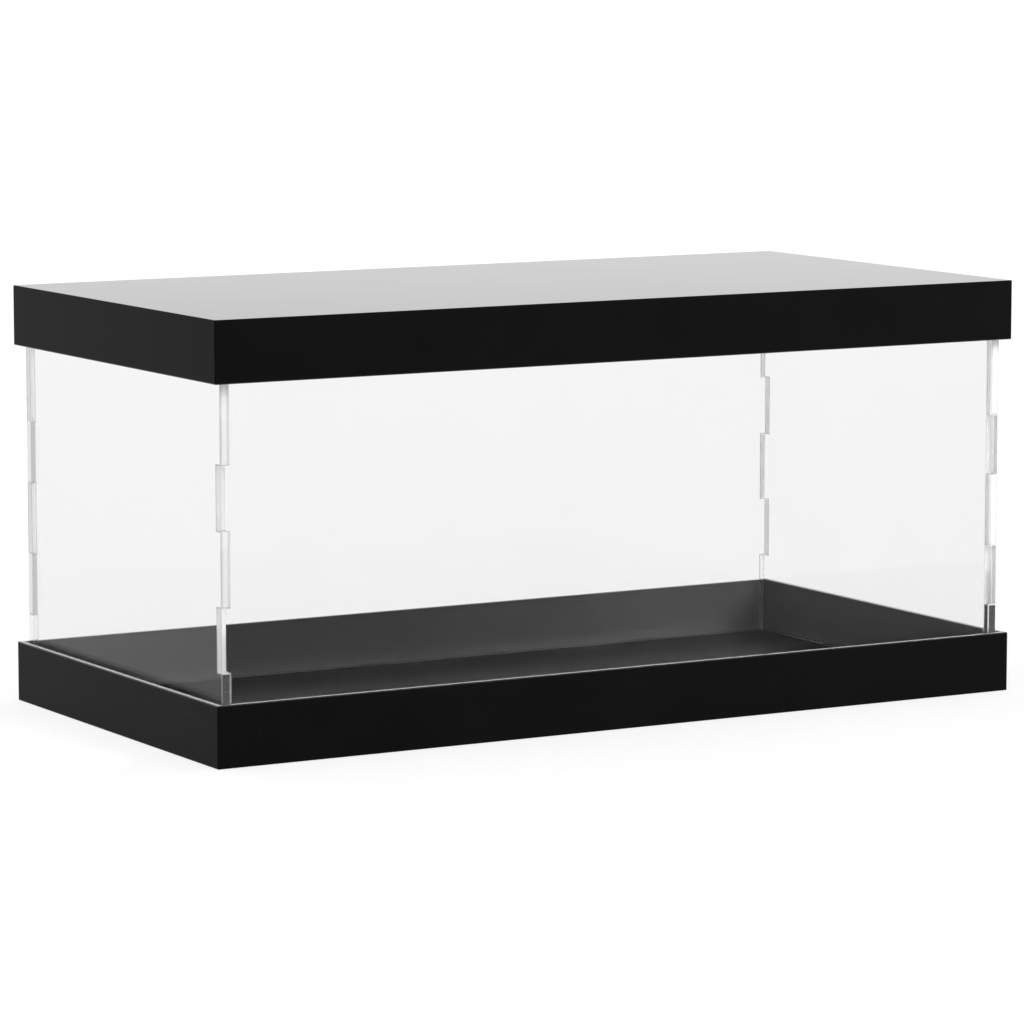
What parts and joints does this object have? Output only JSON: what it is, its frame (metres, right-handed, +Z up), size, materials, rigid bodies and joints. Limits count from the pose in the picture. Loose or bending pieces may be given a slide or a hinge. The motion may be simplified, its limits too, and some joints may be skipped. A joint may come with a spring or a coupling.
{
  "type": "display case",
  "caption": "Oblong acrylic display case: clear finger-jointed panels stand in a shallow black tray under a black lift-off lid, to show a collector's model and keep dust off it.",
  "frame": {"origin": "middle of the base's underside, on the surface that the case stands on", "axes": "+X along the length to the case's right as seen from the front, +Y from the front to the rear, +Z up"},
  "size_m": [0.3, 0.15, 0.14],
  "materials": {
    "black_acrylic": "polished black acrylic sheet",
    "clear_acrylic": "polished clear acrylic sheet with laser-cut edges"
  },
  "bodies": {
    "base": {"base_floor": "black_acrylic", "base_front_wall": "black_acrylic", "base_rear_wall": "black_acrylic", "base_left_wall": "black_acrylic", "base_right_wall": "black_acrylic"},
    "sleeve": {"front_panel": "clear_acrylic", "rear_panel": "clear_acrylic", "left_panel": "clear_acrylic", "right_panel": "clear_acrylic"},
    "lid": {"lid_top": "black_acrylic", "lid_front_skirt": "black_acrylic", "lid_rear_skirt": "black_acrylic", "lid_left_skirt": "black_acrylic", "lid_right_skirt": "black_acrylic", "lid_ceiling": "black_acrylic"}
  },
  "joints": [
    {"name": "sleeve_lift", "type": "slide", "parent": "base", "child": "sleeve", "axis": [0, 0, 1], "range_m": [0, 0.15]},
    {"name": "lid_lift", "type": "slide", "parent": "sleeve", "child": "lid", "axis": [0, 0, 1], "range_m": [0, 0.15]}
  ]
}
